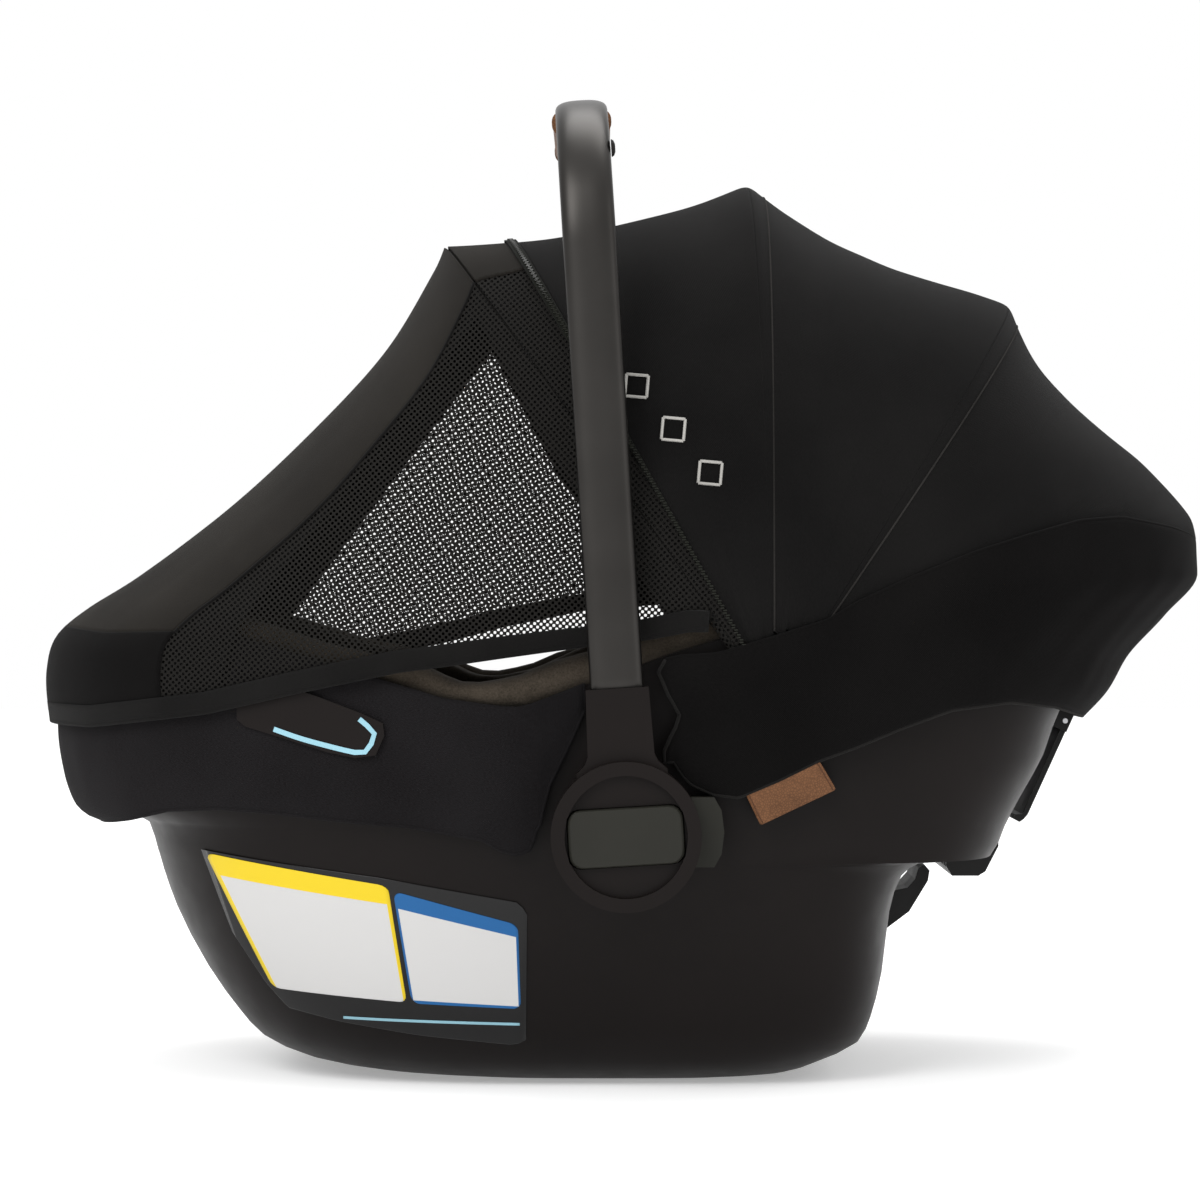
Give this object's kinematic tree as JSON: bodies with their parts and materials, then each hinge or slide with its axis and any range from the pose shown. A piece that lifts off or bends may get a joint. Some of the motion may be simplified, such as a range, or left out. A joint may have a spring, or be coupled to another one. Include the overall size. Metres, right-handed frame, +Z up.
{
  "type": "infant car seat",
  "caption": "Rear-facing baby carrier seat with a swinging carry handle, folding hooped canopy with a zip-out foot drape, padded bucket and harness.",
  "frame": {"origin": "on the floor, under the middle of the bounding box", "axes": "+X towards the head end, +Y across the seat to the occupant's left, +Z up"},
  "size_m": [0.6685, 0.445, 0.5598],
  "materials": {
    "shell_plastic": "fine texture, satin",
    "trim_plastic": "satin",
    "black_plastic": "satin",
    "grey_plastic": "satin",
    "anodised_tube": "satin anodised",
    "steel": "plain",
    "rubber": "matt",
    "leatherette": "grained",
    "black_fabric": "woven, matt",
    "charcoal_fabric": "melange weave, matt",
    "taupe_pad": "soft knit, matt",
    "mesh_fabric": "open mesh",
    "zip_tape": "zip tape",
    "webbing": "woven webbing",
    "foam": "expanded bead foam",
    "belt_path_blue": "printed",
    "label_vinyl": "printed vinyl",
    "button_red": "satin"
  },
  "bodies": {
    "carrier": {"outer_shell": "shell_plastic", "foam_liner": "foam", "seat_pad": "taupe_pad", "newborn_insert": "taupe_pad", "head_support": "taupe_pad", "foot_cover": "charcoal_fabric", "head_boot": "black_fabric", "belt_guide_left": "trim_plastic", "belt_guide_right": "trim_plastic", "belt_mark_left": "belt_path_blue", "belt_mark_right": "belt_path_blue", "handle_mount_left": "trim_plastic", "handle_mount_right": "trim_plastic", "stroller_dock_left": "grey_plastic", "stroller_dock_right": "grey_plastic", "canopy_mount_left": "black_plastic", "canopy_mount_right": "black_plastic", "rear_belt_hook": "black_plastic", "rear_foot": "black_plastic", "lever_pin": "steel", "lever_bracket": "black_plastic", "label_left": "label_vinyl", "label_right": "label_vinyl", "leather_tag": "leatherette", "shoulder_strap_left": "webbing", "shoulder_strap_right": "webbing", "shoulder_pad_left": "charcoal_fabric", "shoulder_pad_right": "charcoal_fabric", "hip_strap_left": "webbing", "hip_strap_right": "webbing", "buckle_tongue_left": "steel", "buckle_tongue_right": "steel", "buckle_housing": "black_plastic", "crotch_strap": "webbing", "chest_clip": "black_plastic", "adjuster_bezel": "black_plastic"},
    "handle": {"handle_tube": "anodised_tube", "handle_grip": "leatherette", "handle_socket_left": "trim_plastic", "handle_socket_right": "trim_plastic", "handle_bumper_left": "rubber", "handle_bumper_right": "rubber", "button_spring_left": "steel", "button_spring_right": "steel"},
    "lock_button_left": {"handle_button_left": "grey_plastic"},
    "lock_button_right": {"handle_button_right": "grey_plastic"},
    "rear_hoop": {"rear_bow": "black_plastic", "canopy_panel_rear": "black_fabric"},
    "mid_hoop": {"mid_bow": "black_plastic", "canopy_panel_mid": "black_fabric"},
    "front_hoop": {"front_bow": "black_plastic", "canopy_panel_front": "black_fabric", "canopy_zip": "zip_tape", "drape_top": "black_fabric", "drape_mesh_left": "mesh_fabric", "drape_mesh_right": "mesh_fabric", "drape_hem": "black_fabric"},
    "lever": {"release_lever": "black_plastic"},
    "harness_button": {"buckle_button": "button_red"},
    "tension_button": {"adjuster_button": "grey_plastic"}
  },
  "joints": [
    {"name": "handle_swing", "type": "hinge", "parent": "carrier", "child": "handle", "pos_m": [0, 0, 0.1457], "axis": [0, 1, 0], "range_deg": [0, 100]},
    {"name": "lock_press_left", "type": "slide", "parent": "handle", "child": "lock_button_left", "axis": [0, -1, 0], "range_m": [0, 0.0035], "stiffness_N_per_m": 400, "deforming": ["button_spring_left"]},
    {"name": "lock_press_right", "type": "slide", "parent": "handle", "child": "lock_button_right", "axis": [0, 1, 0], "range_m": [0, 0.0035], "stiffness_N_per_m": 400, "deforming": ["button_spring_right"]},
    {"name": "rear_fold", "type": "hinge", "parent": "carrier", "child": "rear_hoop", "pos_m": [0.081, 0, 0.218], "axis": [0, 1, 0], "range_deg": [0, 24], "deforming": ["canopy_panel_rear"]},
    {"name": "mid_fold", "type": "hinge", "parent": "rear_hoop", "child": "mid_hoop", "pos_m": [0.081, 0, 0.218], "axis": [0, 1, 0], "range_deg": [0, 27], "deforming": ["canopy_panel_mid"]},
    {"name": "front_fold", "type": "hinge", "parent": "mid_hoop", "child": "front_hoop", "pos_m": [0.081, 0, 0.218], "axis": [0, 1, 0], "range_deg": [0, 27], "deforming": ["canopy_panel_front", "canopy_zip", "drape_top", "drape_mesh_left", "drape_mesh_right", "drape_hem"]},
    {"name": "release_pull", "type": "hinge", "parent": "carrier", "child": "lever", "pos_m": [0.25483, 0, 0.20299], "axis": [0, -1, 0], "range_deg": [0, 14], "stiffness_Nm_per_rad": 0.6, "springref_deg": -5.73},
    {"name": "buckle_press", "type": "slide", "parent": "carrier", "child": "harness_button", "axis": [0.6, 0, -0.8], "range_m": [0, 0.004], "stiffness_N_per_m": 600},
    {"name": "adjuster_press", "type": "slide", "parent": "carrier", "child": "tension_button", "axis": [-0.769, 0, -0.6392], "range_m": [0, 0.003], "stiffness_N_per_m": 500}
  ],
  "couplings": [
    {"joint": "mid_fold", "follows": "rear_fold", "ratio": 1.125},
    {"joint": "front_fold", "follows": "rear_fold", "ratio": 1.125}
  ]
}
